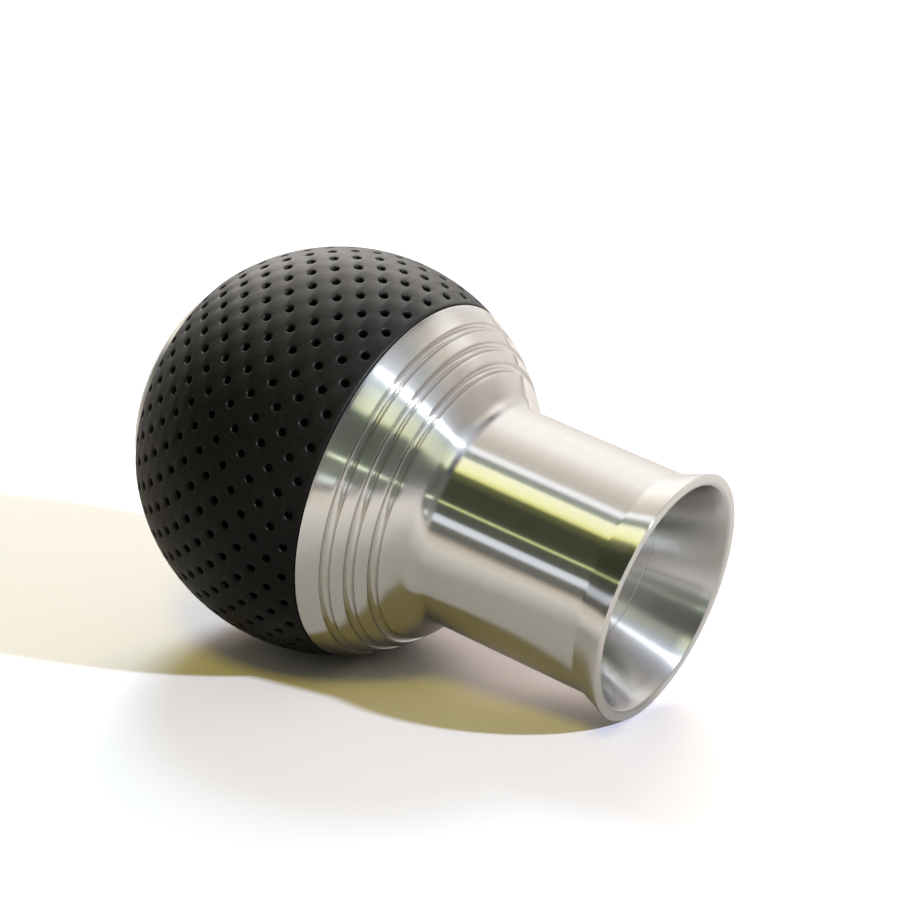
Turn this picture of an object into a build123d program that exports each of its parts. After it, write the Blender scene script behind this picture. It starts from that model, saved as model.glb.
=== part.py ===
"""Gear lever knob: a leather ball with a metal top cap on a turned steel base.

The knob stands upright on the rim of its mouth. The lever's axis is +Z, the
origin is the centre of the rim, and every length is in millimetres.
"""
import os
from math import asin, cos, radians, sin, sqrt, tan

from build123d import *

os.makedirs("parts", exist_ok=True)

# Ball, over the leather, the collar and the cap
ball_diameter = 55.0
ball_centre_height = 51.4
collar_top_height = 40.0

# Steel base
neck_diameter = 30.6
neck_fillet = 3.0
lip_diameter = 34.0
mouth_diameter = 30.8
flare_height = 4.3
flare_fillet = 1.5
lip_edge_chamfer = 0.3
funnel_half_angle = 20.4
lever_bore_diameter = 17.0
collar_edge_chamfer = 0.2

# Round grooves in the collar, along the ball's curve from the collar's top edge
groove_count = 3
first_groove_distance = 3.8
groove_pitch = 3.07
groove_radius = 0.7
groove_depth = 0.68

# Leather cover, which rolls in under the ball's curve beside the cap
leather_thickness = 1.2
leather_gap = 0.1
leather_foot_round = 0.4
roll_start_angle = 47.0
roll_radius = 9.7

# Ball core and the spigot that holds it in the base
glue_line = 0.1
spigot_diameter = 22.0
spigot_length = 13.0
spigot_clearance = 0.1
spigot_end_gap = 0.5
spigot_chamfer = 0.8

# Threaded bush for the lever, with its bore at the crests of an M12 thread
insert_diameter = 16.0
insert_length = 22.0
insert_clearance = 0.05
insert_chamfer = 0.6
thread_bore_diameter = 10.7
lever_end_diameter = 13.0
lever_end_depth = 5.0

# Top cap
cap_diameter = 32.6
cap_gap = 0.2
cap_seat_depth = 0.6
cap_edge_round = 0.4
cap_peg_diameter = 10.0
cap_peg_length = 8.0
cap_peg_clearance = 0.1
cap_peg_end_gap = 0.5

# Shared radii and heights
ball_radius = ball_diameter / 2
core_inset = leather_thickness + glue_line
core_radius = ball_radius - core_inset
collar_top_drop = ball_centre_height - collar_top_height
neck_radius = neck_diameter / 2
lever_bore_radius = lever_bore_diameter / 2
spigot_bottom_height = collar_top_height - spigot_length
insert_top_height = spigot_bottom_height + insert_length
cap_radius = cap_diameter / 2
cap_hole_radius = cap_radius + cap_gap
roll_centre_distance = ball_radius - roll_radius
roll_centre_radius = roll_centre_distance * sin(radians(roll_start_angle))
roll_centre_height = ball_centre_height + roll_centre_distance * cos(radians(roll_start_angle))


def radius_on_ball(inset, height):
    """Distance from the axis of the ball's face, or of one inset from it, at a height."""
    return sqrt((ball_radius - inset) ** 2 - (height - ball_centre_height) ** 2)


def roll_start(inset):
    """Point where the ball's curve passes into the leather's roll."""
    radius = ball_radius - inset
    angle = radians(roll_start_angle)
    return radius * sin(angle), ball_centre_height + radius * cos(angle)


def roll_end(inset):
    """Point where the leather's roll meets the wall of the cap's hole."""
    run = cap_hole_radius - roll_centre_radius
    return cap_hole_radius, roll_centre_height + sqrt((roll_radius - inset) ** 2 - run**2)


def corner(point):
    """Vertex of the sketch in hand nearest to a point."""
    return vertices().sort_by_distance(point)[0]


cap_seat_height = roll_end(core_inset)[1] - cap_seat_depth

# Steel base: collar, neck, lip, funnel and socket in one turning
mouth_edge = (mouth_diameter / 2, 0)
lip_edge = (lip_diameter / 2, 0)
flare_top = (neck_radius, flare_height)
neck_top = (neck_radius, ball_centre_height - sqrt(ball_radius**2 - neck_radius**2))
collar_edge = (radius_on_ball(0, collar_top_height), collar_top_height)
socket_radius = spigot_diameter / 2 + spigot_clearance
socket_floor_height = spigot_bottom_height - spigot_end_gap
funnel_depth = (mouth_diameter / 2 - lever_bore_radius) / tan(radians(funnel_half_angle))
collar_edge_angle = asin(collar_top_drop / ball_radius)
groove_centre_distance = ball_radius + groove_radius - groove_depth

with BuildPart() as steel_base:
    with BuildSketch(Plane.XZ):
        with BuildLine():
            Polyline(mouth_edge, lip_edge, flare_top, neck_top)
            RadiusArc(neck_top, collar_edge, -ball_radius)
            Polyline(
                collar_edge,
                (socket_radius, collar_top_height),
                (socket_radius, socket_floor_height),
                (lever_bore_radius, socket_floor_height),
                (lever_bore_radius, funnel_depth),
                mouth_edge,
            )
        make_face()
        fillet(corner(neck_top), neck_fillet)
        fillet(corner(flare_top), flare_fillet)
        chamfer([corner(lip_edge), corner(mouth_edge)], lip_edge_chamfer)
        chamfer(corner(collar_edge), collar_edge_chamfer)
    revolve(axis=Axis.Z)
    with BuildSketch(Plane.XZ):
        for index in range(groove_count):
            groove_distance = first_groove_distance + index * groove_pitch
            groove_angle = collar_edge_angle + groove_distance / ball_radius
            groove_centre = (
                groove_centre_distance * cos(groove_angle),
                ball_centre_height - groove_centre_distance * sin(groove_angle),
            )
            with Locations(groove_centre):
                Circle(groove_radius)
    revolve(axis=Axis.Z, mode=Mode.SUBTRACT)

# Leather cover: a skin from the collar's edge to the roll beside the cap
leather_bottom_height = collar_top_height + leather_gap
leather_foot = (radius_on_ball(0, leather_bottom_height), leather_bottom_height)
leather_heel = (radius_on_ball(leather_thickness, leather_bottom_height), leather_bottom_height)

with BuildPart() as leather_cover:
    with BuildSketch(Plane.XZ):
        with BuildLine():
            RadiusArc(leather_foot, roll_start(0), -ball_radius)
            RadiusArc(roll_start(0), roll_end(0), -roll_radius)
            Line(roll_end(0), roll_end(leather_thickness))
            RadiusArc(
                roll_end(leather_thickness),
                roll_start(leather_thickness),
                roll_radius - leather_thickness,
            )
            RadiusArc(roll_start(leather_thickness), leather_heel, ball_radius - leather_thickness)
            Line(leather_heel, leather_foot)
        make_face()
        fillet(corner(leather_foot), leather_foot_round)
    revolve(axis=Axis.Z)

# Ball core: the moulded ball with its spigot, its bore and the cap's seat
core_bottom_edge = (radius_on_ball(core_inset, collar_top_height), collar_top_height)
insert_bore_radius = insert_diameter / 2 + insert_clearance
cap_peg_hole_radius = cap_peg_diameter / 2 + cap_peg_clearance
cap_peg_hole_depth = cap_peg_length + cap_peg_end_gap

with BuildPart() as ball_core:
    with BuildSketch(Plane.XZ):
        with BuildLine():
            Polyline(
                (0, cap_seat_height),
                (0, spigot_bottom_height),
                (spigot_diameter / 2, spigot_bottom_height),
                (spigot_diameter / 2, collar_top_height),
                core_bottom_edge,
            )
            RadiusArc(core_bottom_edge, roll_start(core_inset), -core_radius)
            RadiusArc(roll_start(core_inset), roll_end(core_inset), core_inset - roll_radius)
            Polyline(
                roll_end(core_inset),
                (cap_hole_radius, cap_seat_height),
                (0, cap_seat_height),
            )
        make_face()
        chamfer(corner((spigot_diameter / 2, spigot_bottom_height)), spigot_chamfer)
    revolve(axis=Axis.Z)
    with Locations(Plane.XY.offset(cap_seat_height)):
        Hole(cap_peg_hole_radius, depth=cap_peg_hole_depth)
    with BuildSketch(Plane.XY.offset(spigot_bottom_height)):
        Circle(insert_bore_radius)
    extrude(amount=insert_length, mode=Mode.SUBTRACT)
    with BuildSketch(Plane.XY.offset(insert_top_height)):
        Circle(lever_end_diameter / 2)
    extrude(amount=lever_end_depth, mode=Mode.SUBTRACT)

# Threaded insert, pressed up to the shoulder of the core's bore
with BuildPart() as threaded_insert:
    with BuildSketch(Plane.XY.offset(spigot_bottom_height)):
        Circle(insert_diameter / 2)
        Circle(thread_bore_diameter / 2, mode=Mode.SUBTRACT)
    extrude(amount=insert_length)
    chamfer(faces().sort_by(Axis.Z)[-1].outer_wire().edges(), insert_chamfer)
    chamfer(faces().sort_by(Axis.Z)[0].inner_wires()[0].edges(), insert_chamfer)

# Top cap: a plain dome that completes the ball, with a peg into the core
cap_dome_edge = (cap_radius, ball_centre_height + sqrt(ball_radius**2 - cap_radius**2))

with BuildPart() as top_cap:
    with BuildSketch(Plane.XZ):
        with BuildLine():
            RadiusArc(cap_dome_edge, (0, ball_centre_height + ball_radius), -ball_radius)
            Polyline(
                (0, ball_centre_height + ball_radius),
                (0, cap_seat_height - cap_peg_length),
                (cap_peg_diameter / 2, cap_seat_height - cap_peg_length),
                (cap_peg_diameter / 2, cap_seat_height),
                (cap_radius, cap_seat_height),
                cap_dome_edge,
            )
        make_face()
        fillet(corner(cap_dome_edge), cap_edge_round)
    revolve(axis=Axis.Z)

pieces = {
    "steel_base": steel_base,
    "leather_cover": leather_cover,
    "ball_core": ball_core,
    "threaded_insert": threaded_insert,
    "top_cap": top_cap,
}
for name, piece in pieces.items():
    piece.part.label = name
    export_step(piece.part, f"parts/{name}.step")
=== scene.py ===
"""Gear lever knob: a perforated leather ball with a metal cap on a turned steel base."""
from math import acos, asin, atan2, cos, floor, hypot, pi, radians, sin, sqrt, tan
from typing import NamedTuple

import bmesh
import bpy
from bpy.props import FloatProperty, FloatVectorProperty, IntProperty, PointerProperty
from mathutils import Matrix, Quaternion, Vector


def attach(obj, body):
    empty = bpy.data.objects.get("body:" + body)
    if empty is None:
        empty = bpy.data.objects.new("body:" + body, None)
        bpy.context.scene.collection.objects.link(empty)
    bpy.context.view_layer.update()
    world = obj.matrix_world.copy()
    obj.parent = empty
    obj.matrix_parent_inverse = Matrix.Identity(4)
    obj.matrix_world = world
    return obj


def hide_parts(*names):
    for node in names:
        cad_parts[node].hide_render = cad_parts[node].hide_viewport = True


bl_info = {
    "name": "Gear Lever Knob",
    "version": (1, 0, 0),
    "blender": (4, 5, 0),
    "location": "View3D > Sidebar > Knob",
    "description": "Dresses a leather and steel gear lever knob over its CAD frame",
    "category": "Add Mesh",
}

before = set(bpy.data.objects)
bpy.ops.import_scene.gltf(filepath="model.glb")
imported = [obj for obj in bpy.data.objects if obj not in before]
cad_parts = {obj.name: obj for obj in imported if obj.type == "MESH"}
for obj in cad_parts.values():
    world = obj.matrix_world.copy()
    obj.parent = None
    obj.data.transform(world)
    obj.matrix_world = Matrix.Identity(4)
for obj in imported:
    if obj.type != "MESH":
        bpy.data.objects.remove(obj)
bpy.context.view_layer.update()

MM = 0.001
WELD = 0.001 * MM
TOUCH = 10 * WELD

# Pieces that have lamps of their own
COVER = "perforated_cover"
CAP = "cap_dome"


def length(name, millimetres, description):
    """A size that a user may change."""
    return FloatProperty(
        name=name, description=description, default=millimetres * MM, precision=5, unit="LENGTH"
    )


def angle(name, degrees, description):
    """An angle that a user may change."""
    return FloatProperty(
        name=name, description=description, default=radians(degrees), subtype="ANGLE"
    )


def colour(name, values, description):
    """A linear colour that a user may change."""
    return FloatVectorProperty(
        name=name, description=description, default=values, size=3, subtype="COLOR", min=0, max=1
    )


def point(name, millimetres, description):
    """A place in the knob's frame that a user may change."""
    return FloatVectorProperty(
        name=name,
        description=description,
        default=[value * MM for value in millimetres],
        size=3,
        subtype="TRANSLATION",
    )


def share(name, value, description):
    """A share from 0 to 1 that a user may change."""
    return FloatProperty(
        name=name, description=description, default=value, min=0, max=1, subtype="FACTOR"
    )


class KnobSizes(bpy.types.PropertyGroup):
    """Sizes of the knob's pieces"""

    ball_diameter: length("Ball diameter", 55.0, "Across the leather, the collar and the cap")
    ball_height: length("Ball height", 51.4, "From the rim to the ball's centre")
    collar_top: length("Collar top", 40.0, "From the rim to the top edge of the collar")
    neck_diameter: length("Neck diameter", 30.6, "Across the straight neck")
    neck_fillet: length("Neck fillet", 3.0, "Radius between the neck and the collar")
    lip_diameter: length("Lip diameter", 34.0, "Across the outside of the rim")
    mouth_diameter: length("Mouth diameter", 30.8, "Across the inside of the rim")
    flare_height: length("Flare height", 4.3, "From the rim to the start of the neck")
    flare_fillet: length("Flare fillet", 1.5, "Radius between the flare and the neck")
    lip_round: length("Lip round", 0.25, "Radius on both edges of the rim")
    edge_round: length("Edge round", 0.15, "Radius on the collar's top edge")
    groove_edge_round: length("Groove edge round", 0.08, "Radius on the edges of the grooves")
    funnel_angle: angle("Funnel angle", 20.4, "Slope of the mouth's wall to the axis")
    funnel_mark: length("Funnel mark", 9.0, "Depth of the fine turned line in the mouth")
    funnel_mark_width: length("Funnel mark width", 0.15, "Width of the fine turned line")
    lever_bore: length("Lever bore", 17.0, "Across the passage for the lever")
    groove_count: IntProperty(
        name="Grooves", description="Round grooves in the collar", default=3, min=1, max=5
    )
    first_groove: length("First groove", 3.8, "Along the curve from the collar's top edge")
    groove_pitch: length("Groove pitch", 3.07, "Along the curve from groove to groove")
    groove_radius: length("Groove radius", 0.7, "Radius of the round groove tool")
    groove_depth: length("Groove depth", 0.68, "Depth of a groove below the ball's curve")
    socket_diameter: length("Socket diameter", 22.2, "Across the socket for the ball's spigot")
    socket_floor: length("Socket floor", 26.5, "From the rim to the socket's floor")
    leather_thickness: length("Leather thickness", 1.2, "Thickness of the cover")
    leather_gap: length("Leather gap", 0.1, "Between the collar and the cover's foot")
    leather_foot_round: length("Leather foot round", 0.4, "Radius on the cover's cut edge")
    roll_start: angle("Roll start", 43.0, "Latitude at which the cover starts to roll in")
    roll_radius: length("Roll radius", 9.7, "Radius of the roll beside the cap")
    cap_diameter: length("Cap diameter", 32.6, "Across the metal cap")
    cap_gap: length("Cap gap", 0.2, "Between the cap and the leather")
    cap_edge_round: length("Cap edge round", 0.5, "Radius on the cap's edge")
    cap_seat: length("Cap seat", 70.58, "From the rim to the underside of the cap")
    cap_peg_diameter: length("Cap peg diameter", 10.0, "Across the peg under the cap")
    cap_peg_length: length("Cap peg length", 8.0, "Length of the peg under the cap")
    bush_diameter: length("Bush diameter", 16.0, "Across the threaded bush")
    bush_bottom: length("Bush bottom", 27.0, "From the rim to the bush")
    bush_length: length("Bush length", 22.0, "Length of the threaded bush")
    bush_edge: length("Bush edge", 0.6, "Chamfer on the bush's edges")
    thread_bore: length("Thread bore", 10.7, "Across the crests of the thread")
    thread_root: length("Thread root", 12.0, "Across the roots of the thread")
    thread_pitch: length("Thread pitch", 1.25, "Rise of one turn of the thread")


class KnobHoles(bpy.types.PropertyGroup):
    """Pattern of the holes punched in the leather"""

    per_row: IntProperty(
        name="Holes per row", description="Holes round the ball", default=35, min=8, max=80
    )
    rows: IntProperty(
        name="Rows", description="Rows from the collar to the cap", default=16, min=4, max=30
    )
    first_latitude: angle("First latitude", -20.88, "Latitude of the lowest row")
    row_step: angle("Row step", 4.33, "Latitude from row to row")
    stretch: angle("Stretch", 0.11, "Extra latitude, growing with the square of the row")
    stretch_row: IntProperty(
        name="Stretch row", description="Row from which the rows spread", default=8, min=0, max=30
    )
    azimuth: angle("Azimuth", -92.55, "Where the lowest row starts")
    lean: angle("Lean", 0.33, "Turn of the columns from row to row")
    diameter: length("Hole diameter", 1.06, "Across a punched hole")
    floor_diameter: length("Hole floor diameter", 0.88, "Across the bottom of a hole")
    depth: length("Hole depth", 1.0, "Depth of a hole")
    lip_diameter: length("Hole lip diameter", 1.36, "Across the rounded edge of a hole")
    ring_diameter: length("Hole ring diameter", 1.64, "Across the flat ring round a hole")
    wall_depth: length("Hole wall depth", 0.28, "Depth at which a hole starts to widen")
    bevel_depth: length("Hole bevel depth", 0.13, "Depth of the middle of its rounded edge")
    bevel_width: length("Hole bevel width", 0.05, "How far the hole has widened there")
    lip_depth: length("Hole lip depth", 0.045, "Depth of the outside of its rounded edge")
    # Painted shade in the holes: the depth where it starts, and the further depth where it is darkest
    shade_depth: length("Shade depth", 0.1, "Depth from which a hole darkens")
    shade_run: length("Shade run", 0.3, "Further depth at which it is darkest")


class KnobFinishes(bpy.types.PropertyGroup):
    """Colours and gloss of the knob's finishes"""

    leather: colour("Leather", (0.0045, 0.0043, 0.0038), "Black leather")
    leather_worn: colour("Leather high spots", (0.0090, 0.0087, 0.0079), "Tops of the grain")
    # Painted shade deep inside the holes
    leather_hole_painted_shade: colour("Leather holes", (0.0020, 0.0020, 0.0019), "Inside the holes")
    leather_roughness: share("Leather roughness", 0.46, "Roughness of the leather")
    leather_gloss: share("Leather gloss", 0.10, "Strength of the leather's reflection")
    steel: colour("Steel", (0.74, 0.72, 0.69), "Turned steel")
    steel_roughness: share("Steel roughness", 0.17, "Roughness of the turned steel")
    steel_grain: share("Steel grain", 1.0, "How far the turning lines stretch a reflection")
    funnel_roughness: share("Funnel roughness", 0.228, "Roughness inside the mouth")
    funnel_grain: share("Funnel grain", 0.74, "How far its lines stretch a reflection")
    # Darker steel inside the mouth: painted shade
    funnel_steel_painted_shade: colour("Funnel steel", (0.575, 0.562, 0.56), "Steel inside the mouth")
    cap_roughness: share("Cap roughness", 0.34, "Roughness of the satin cap")
    brass: colour("Brass", (0.62, 0.42, 0.16), "Threaded bush")
    plastic: colour("Plastic", (0.012, 0.012, 0.013), "Moulded ball under the leather")


class KnobStage(bpy.types.PropertyGroup):
    """Camera, floor and soft light"""

    camera_place: point("Camera place", (0.0, -320.53, -120.63), "Where the camera stands")
    camera_aim: point("Camera aim", (6.211, 5.819, 39.284), "What the camera points at")
    camera_roll: angle("Camera roll", 66.146, "Clockwise turn of the camera")
    camera_lens: FloatProperty(
        name="Lens", description="Focal length", default=107.946, unit="CAMERA"
    )
    camera_sensor: FloatProperty(
        name="Sensor", description="Width of the sensor", default=36.0, unit="CAMERA"
    )
    floor_azimuth: angle("Floor azimuth", 61.9, "Side of the knob that is up as it lies")
    floor_tilt: angle("Floor tilt", 12.2, "Rise of the ball's end of the axis as the knob lies")
    floor_size: length("Floor size", 4000.0, "Width of the floor")
    floor: colour("Floor", (0.90, 0.92, 1.0), "White floor")
    floor_mirrored: colour("Mirrored floor", (0.77, 0.77, 0.79), "Floor as the steel shows it")
    # Floor beside the knob, darker in what the steel mirrors and in bounce light: painted shade
    floor_near_painted_shade: colour("Near floor", (0.58, 0.59, 0.59), "Floor right beside the knob")
    # Floor tones only in what the steel mirrors and in bounce light, as painted reflections: off to
    # the mouth's side the floor is painted dark
    floor_behind: colour("Floor behind", (0.76, 0.73, 0.75), "Floor well off to the ball's side")
    floor_far_painted_dark: colour("Far floor", (0.12, 0.12, 0.12), "Floor well off to the mouth's side")
    floor_lift: FloatProperty(
        name="Floor lift", description="How far the picture overexposes the floor", default=1.3
    )
    ambient: colour("Ambient", (0.19, 0.174, 0.125), "Light from all sides")
    low_ambient: share("Low ambient", 0.08, "Share of that light close to the floor")
    mirrored_strength: FloatProperty(
        name="Mirrored strength", description="Strength of what the steel mirrors", default=1.3
    )


def sizes():
    """The scene's sizes of the knob."""
    return bpy.context.scene.knob_sizes


def holes():
    """The scene's pattern of holes."""
    return bpy.context.scene.knob_holes


def finishes():
    """The scene's finishes."""
    return bpy.context.scene.knob_finishes


def stage_settings():
    """The scene's camera, floor and light."""
    return bpy.context.scene.knob_stage


class Value:
    """A shader socket that can stand in an arithmetic expression."""

    def __init__(self, shader, socket):
        self.shader = shader
        self.socket = socket

    def __add__(self, other):
        return self.shader.maths("ADD", self, other)

    def __radd__(self, other):
        return self.shader.maths("ADD", other, self)

    def __sub__(self, other):
        return self.shader.maths("SUBTRACT", self, other)

    def __rsub__(self, other):
        return self.shader.maths("SUBTRACT", other, self)

    def __mul__(self, other):
        return self.shader.maths("MULTIPLY", self, other)

    def __rmul__(self, other):
        return self.shader.maths("MULTIPLY", other, self)

    def __truediv__(self, other):
        return self.shader.maths("DIVIDE", self, other)

    def __rtruediv__(self, other):
        return self.shader.maths("DIVIDE", other, self)

    def __pow__(self, other):
        return self.shader.maths("POWER", self, other)

    def __lt__(self, other):
        return self.shader.maths("LESS_THAN", self, other)

    def __gt__(self, other):
        return self.shader.maths("GREATER_THAN", self, other)

    def __abs__(self):
        return self.shader.maths("ABSOLUTE", self)


class Shader:
    """Builds one tree of shader nodes."""

    def __init__(self, owner):
        owner.use_nodes = True
        self.tree = owner.node_tree
        self.tree.nodes.clear()

    def node(self, kind, settings=None, inputs=None, output=0):
        """Add a node, set it up, feed its sockets and give one of its outputs."""
        node = self.tree.nodes.new(kind)
        for name, value in (settings or {}).items():
            if name == "stops":
                self.set_stops(node.color_ramp, value)
            else:
                setattr(node, name, value)
        for key, value in (inputs or {}).items():
            if isinstance(value, Value):
                self.tree.links.new(value.socket, node.inputs[key])
            else:
                node.inputs[key].default_value = value
        return Value(self, node.outputs[output]) if node.outputs else None

    def set_stops(self, ramp, stops):
        """Give a colour ramp its stops, as (place, colour)."""
        while len(ramp.elements) > 1:
            ramp.elements.remove(ramp.elements[-1])
        for index, (place, values) in enumerate(stops):
            stop = ramp.elements[0] if index == 0 else ramp.elements.new(place)
            stop.position = place
            stop.color = (*values, 1)

    def maths(self, operation, *values):
        """The result of an operation on one or two numbers."""
        return self.node("ShaderNodeMath", {"operation": operation}, dict(enumerate(values)))

    def ray(self, kind):
        """What a light path node says of the ray in hand."""
        return self.node("ShaderNodeLightPath", output=kind)

    def place(self):
        """The surface point in the knob's own frame."""
        return self.node("ShaderNodeTexCoord", output="Object")

    def parts(self, vector):
        """The three parts of a vector."""
        first = self.node("ShaderNodeSeparateXYZ", inputs={0: vector})
        outputs = first.socket.node.outputs
        return [Value(self, outputs[index]) for index in range(3)]

    def blend(self, factor, first, second):
        """A colour between two colours."""
        return self.node(
            "ShaderNodeMix",
            {"data_type": "RGBA"},
            {"Factor": factor, 6: opaque(first), 7: opaque(second)},
            output=2,
        )

    def between(self, value, low, high, to_low=0.0, to_high=1.0):
        """A value carried from one range to another, and held at its ends."""
        return self.node(
            "ShaderNodeMapRange",
            inputs={0: value, 1: low, 2: high, 3: to_low, 4: to_high},
        )

    def fade(self, value, edges, to_low=0.0, to_high=1.0):
        """The same for an angle, with the range's two edges in degrees."""
        low, high = edges
        return self.between(value, radians(low), radians(high), to_low, to_high)

    def noise(self, vector, scale, detail=2.0, roughness=0.5):
        """Soft noise over a vector."""
        return self.node(
            "ShaderNodeTexNoise",
            inputs={"Vector": vector, "Scale": scale, "Detail": detail, "Roughness": roughness},
        )

    def bump(self, height, strength, distance):
        """A normal that follows a height."""
        return self.node(
            "ShaderNodeBump",
            inputs={"Strength": strength, "Distance": distance, "Height": height},
        )

    def surface(self, inputs, second=None, second_share=None):
        """Finish a material with one principled surface, or with two and the second's share."""
        shader = self.node("ShaderNodeBsdfPrincipled", inputs=inputs)
        if second:
            other = self.node("ShaderNodeBsdfPrincipled", inputs=second)
            shader = self.node("ShaderNodeMixShader", inputs={0: second_share, 1: shader, 2: other})
        self.node("ShaderNodeOutputMaterial", inputs={"Surface": shader})

    def dot(self, vector, direction):
        """How far a vector reaches along a direction."""
        return self.node(
            "ShaderNodeVectorMath",
            {"operation": "DOT_PRODUCT"},
            {0: vector, 1: direction},
            output="Value",
        )

    def scaled(self, vector, factor):
        """A colour or another vector times a number."""
        return self.node(
            "ShaderNodeVectorMath", {"operation": "SCALE"}, {0: vector, "Scale": factor}
        )


def opaque(values):
    """A colour socket's value, with its alpha where it is a plain colour."""
    return values if isinstance(values, Value) else (*values, 1)


def toned(values, factor):
    """A plain colour made darker or lighter."""
    return [value * factor for value in values]


# Features per metre in the leather, what each kind adds to its colour and its gloss, how far the
# roughness goes down and up with them, and the depth of the grain
CELL_SCALE = 1700.0
CREASE_SCALE = 900.0
CLOUD_SCALE = 120.0
GRAIN_WEIGHT = 0.6
CLOUD_WEIGHT = 0.4
CLOUD_GLOSS = 0.5
SMOOTHER = 0.06
ROUGHER = 0.08
GRAIN_RELIEF = 0.06 * MM


def leather_finish():
    """Black leather with a fine grain, with painted shade deep in its holes."""
    look = finishes()
    material = bpy.data.materials.new("black_leather")
    shader = Shader(material)
    place = shader.place()
    cells = shader.node(
        "ShaderNodeTexVoronoi",
        {"feature": "SMOOTH_F1"},
        {"Vector": place, "Scale": CELL_SCALE, "Smoothness": 0.6},
    )
    creases = shader.noise(place, CREASE_SCALE, detail=4.0, roughness=0.6)
    clouds = shader.noise(place, CLOUD_SCALE)
    grain = cells * GRAIN_WEIGHT + creases * GRAIN_WEIGHT
    worn = shader.between(grain + clouds * CLOUD_WEIGHT, low=0.45, high=0.95)
    skin = shader.blend(worn, look.leather, look.leather_worn)
    # Painted shade in the holes, growing with their depth
    hole_shade = shader.node("ShaderNodeAttribute", {"attribute_name": "hole_depth"}, output="Fac")
    roughness = shader.between(
        creases + clouds * CLOUD_GLOSS,
        low=0.4,
        high=1.1,
        to_low=look.leather_roughness - SMOOTHER,
        to_high=look.leather_roughness + ROUGHER,
    )
    shader.surface(
        {
            "Base Color": shader.blend(hole_shade, skin, look.leather_hole_painted_shade),
            "Roughness": roughness,
            "Normal": shader.bump(grain, strength=0.35, distance=GRAIN_RELIEF),
            "Specular IOR Level": look.leather_gloss,
        }
    )
    return material


# Turned lines: what the fine and the broad ones add, the scale of the broad ones beside the fine,
# how dark and how bright they make the steel, and their depth
FINE_WEIGHT = 0.7
BROAD_WEIGHT = 0.5
BROAD_LINES = 0.12
LINE_DARK = 0.95
LINE_BRIGHT = 1.04
LINE_RELIEF = 0.01 * MM

# How much deeper they are inside the mouth, how far its finish reaches out from its wall, and the
# turn of the steel's gloss
MOUTH_LINES = 1.8
MOUTH_MARGIN = 0.4 * MM
QUARTER_TURN = 0.25


def steel_finish(name, line_scale, line_strength, grain, roughness):
    """Turned steel, with fine lines round the axis; inside the mouth a rougher cut, with its colour
    darker as painted shade.
    """
    look = finishes()
    size = sizes()
    material = bpy.data.materials.new(name)
    shader = Shader(material)
    across, along, up = shader.parts(shader.place())
    out = (across * across + along * along) ** 0.5
    turned = shader.node("ShaderNodeCombineXYZ", inputs={0: out, 1: 0.0, 2: up})
    fine = shader.noise(turned, line_scale, detail=3.0, roughness=0.7)
    broad = shader.noise(turned, line_scale * BROAD_LINES, roughness=0.6)
    lines = fine * FINE_WEIGHT + broad * BROAD_WEIGHT
    wall = size.mouth_diameter / 2 - up * tan(size.funnel_angle)
    mouth = (out < wall + MOUTH_MARGIN) * (up < size.socket_floor)
    uneven = shader.between(lines, low=0.3, high=0.9, to_low=-0.02, to_high=0.02)
    bright = shader.between(lines, low=0.35, high=0.85)
    outside = {
        "Base Color": shader.blend(
            bright, toned(look.steel, LINE_DARK), toned(look.steel, LINE_BRIGHT)
        ),
        "Metallic": 1.0,
        "Roughness": uneven + roughness,
        "Anisotropic": grain,
        "Anisotropic Rotation": QUARTER_TURN,
        "Normal": shader.bump(lines, line_strength, LINE_RELIEF),
    }
    inside = {
        **outside,
        # The darker colour here is painted shade of the mouth's inside
        "Base Color": opaque(look.funnel_steel_painted_shade),
        "Roughness": uneven + look.funnel_roughness,
        "Anisotropic": look.funnel_grain,
        "Normal": shader.bump(lines, line_strength * MOUTH_LINES, LINE_RELIEF),
    }
    shader.surface(outside, inside, mouth)
    return material


def brass_finish():
    """Plain machined brass."""
    look = finishes()
    material = bpy.data.materials.new("bush_brass")
    shader = Shader(material)
    tone = shader.noise(shader.place(), scale=700.0, detail=3.0)
    shader.surface(
        {
            "Base Color": shader.blend(tone, toned(look.brass, 0.8), look.brass),
            "Metallic": 1.0,
            "Roughness": shader.between(tone, low=0.3, high=0.7, to_low=0.28, to_high=0.4),
        }
    )
    return material


def plastic_finish():
    """Black moulded plastic with a fine spark-eroded grain."""
    look = finishes()
    material = bpy.data.materials.new("core_plastic_finish")
    shader = Shader(material)
    grain = shader.noise(shader.place(), scale=3000.0)
    shader.surface(
        {
            "Base Color": shader.blend(grain, look.plastic, toned(look.plastic, 1.8)),
            "Roughness": shader.between(grain, low=0.3, high=0.7, to_low=0.45, to_high=0.6),
            "Normal": shader.bump(grain, strength=0.2, distance=0.02 * MM),
        }
    )
    return material


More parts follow.
